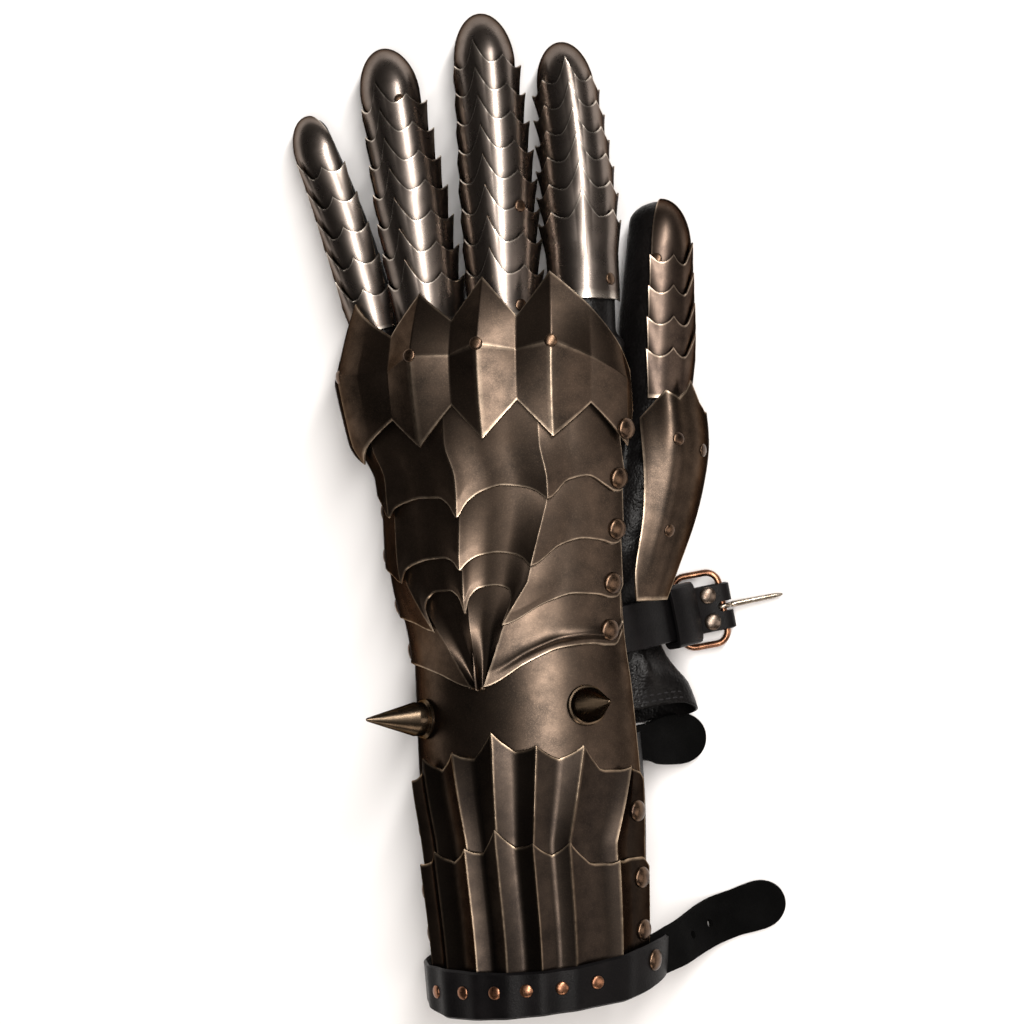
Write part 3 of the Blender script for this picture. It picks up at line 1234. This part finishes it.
HAND_RIVETS = ((12.6, 66, 1.2), (-6.3, 65, 0.9), (-26.4, 61.5, 0.9), (-43.9, 58, 0.9),
               (0, -96, 0.4), (-17, -95, 1.6), (-36.5, -94, 1.7), (-53.6, -93, 1.4))
ARM_RIVETS = ((31, 71, 3.9), (-111.2, 64.5, 2.5), (-135.8, 63.5, 4.2), (-155.6, 64.5, 4.2),
              (-122, -93, 2.5), (-145, -92, 4.2), (-161, -92, 4.2), (-166.7, 68, CUFF_RISE + 1.3))
places = [on_arm(y, angle, rise) for y, angle, rise in HAND_RIVETS + ARM_RIVETS]
rivets("plate_rivets", places, 4.1, 1.7, bronze)
CUFF_RIVETS = ((-179.4, -57), (-177.7, -36), (-176.5, -18), (-175.1, -2.5), (-173.9, 14), (-172.2, 31))
rivets("cuff_rivets", [on_arm(y, angle, CUFF_RISE + 1.7) for y, angle in CUFF_RIVETS], 2.5, 0.8, copper)
KNUCKLE_CRESTS = ((3.5, 62, 7.5), (32, 63, 7.5), (-23, 58, 7.5), (-66, 51, 8))
rivets("knuckle_rivets", [on_arm(y, angle, rise - 0.1) for angle, y, rise in KNUCKLE_CRESTS], 2.5, 0.8, bronze)


def on_thumb_plate(share, row):
    point, normal = facing_out(thumb_plate_points, share, row, 0.01)
    return outward_from((45, point[1], 18), point, normal)


rivets("thumb_plate_rivets", [on_thumb_plate(*spot) for spot in ((0.33, 0.78), (0.66, 0.74), (0.42, 0.34))],
       2.5, 0.8, bronze)
LAME_RIVETS = (("ring", 27, 40), ("thumb", 27, -72), ("middle", 83, 50), ("middle", 119, 44), ("index", 99, 43))
rivets("lame_rivets", [on_finger(*place) for place in LAME_RIVETS], 2.4, 0.7, bronze)
STRAP_RIVETS = [(placed(39.5, across, BAR_UP + FOLD + 1.6), np.array([0.05, 0, 1])) for across in (-5.2, 5.2)]
rivets("strap_rivets", STRAP_RIVETS, 3.3, 1.2, dull_nickel)


# ---- Stitching ----
# Two rows of black thread round the glove's hem, as short stitches that sit in the leather.


def stitch_tree():
    """Lays a stitch along a path at even steps."""
    tree, given = new_tree("stitch_row", ("Pitch", "Length", "Thread"))
    path = add_node(tree, "GeometryNodeMeshToCurve", {"Mesh": given["Geometry"]}).outputs["Curve"]
    steps = add_node(tree, "GeometryNodeResampleCurve", {"Curve": path, "Length": given["Pitch"]},
                     mode="LENGTH")
    tangent = add_node(tree, "GeometryNodeInputTangent").outputs["Tangent"]
    stitch = ball(tree, 8, 6, given["Thread"], math(tree, "MULTIPLY", given["Length"], 0.5))
    return stood(tree, steps.outputs["Curve"], stitch, tangent, given["Material"], False)


# Waxed thread: a shade lighter than the glove's leather.
thread = leather_material("black_waxed_thread", "1a191b", "2b292b", 0.5, 0.5, 0.2)
STITCH_TREE = stitch_tree()
sides = np.radians(np.arange(0, 360, 3))
for number, set_back in enumerate((2.2, 4.6)):
    y = HEM_Y + set_back
    ring = section_points(GLOVE_FORM, y, np.degrees(sides), 0.15)
    ring[:, 1] += HEM_SLANT * (ring[:, 2] - HEM_TOP)
    ring = drawn_back(ring)
    ring[:, 2] = np.maximum(ring[:, 2], 0.3)
    links = [(i, (i + 1) % len(ring)) for i in range(len(ring))]
    values = {"Pitch": 3 * MM, "Length": 2.1 * MM, "Thread": 0.4 * MM, "Material": thread}
    row = grown(f"hem_stitches_{number + 1}", ring, STITCH_TREE, values, edges=links)


# ---- Table and light ----
# A white table under a dim sky, with one long soft light near overhead and two weak ones,
# from the right and from the cuff's end.

bpy.ops.mesh.primitive_plane_add(size=6, location=(0, 0, -0.0002))
table_top = bpy.context.object
table_top.name = "table_top"
white, tree, shader, coordinates = new_material("white_table")
shader.inputs["Base Color"].default_value = linear("f4f4f5")
shader.inputs["Roughness"].default_value = 0.9
table_top.data.materials.append(white)

LIGHTS = (
    ("strip", (0.19, 0.4, 1.5), (0.2, 2.4), 42, "fffaf5"),
    ("right_fill", (1.5, -0.3, 1.1), (0.8, 1.6), 7, "fff3ea"),
    ("near_fill", (0.1, -1.9, 1.0), (1.8, 0.6), 10, "fff0e2"),
)
for name, place, size, watts, colour in LIGHTS:
    lamp = bpy.data.lights.new(name, "AREA")
    lamp.shape = "RECTANGLE"
    lamp.size, lamp.size_y = size
    lamp.energy = watts
    lamp.color = linear(colour)[:3]
    holder = bpy.data.objects.new(name, lamp)
    holder.location = place
    holder.rotation_euler = (-Vector(place)).to_track_quat("-Z", "Y").to_euler()
    bpy.context.scene.collection.objects.link(holder)

world = bpy.data.worlds.new("dim_studio")
world.use_nodes = True
world.node_tree.nodes["Background"].inputs["Color"].default_value = linear("4c4846")
world.node_tree.nodes["Background"].inputs["Strength"].default_value = 0.35
bpy.context.scene.world = world
bpy.context.scene.view_settings.view_transform = "Standard"
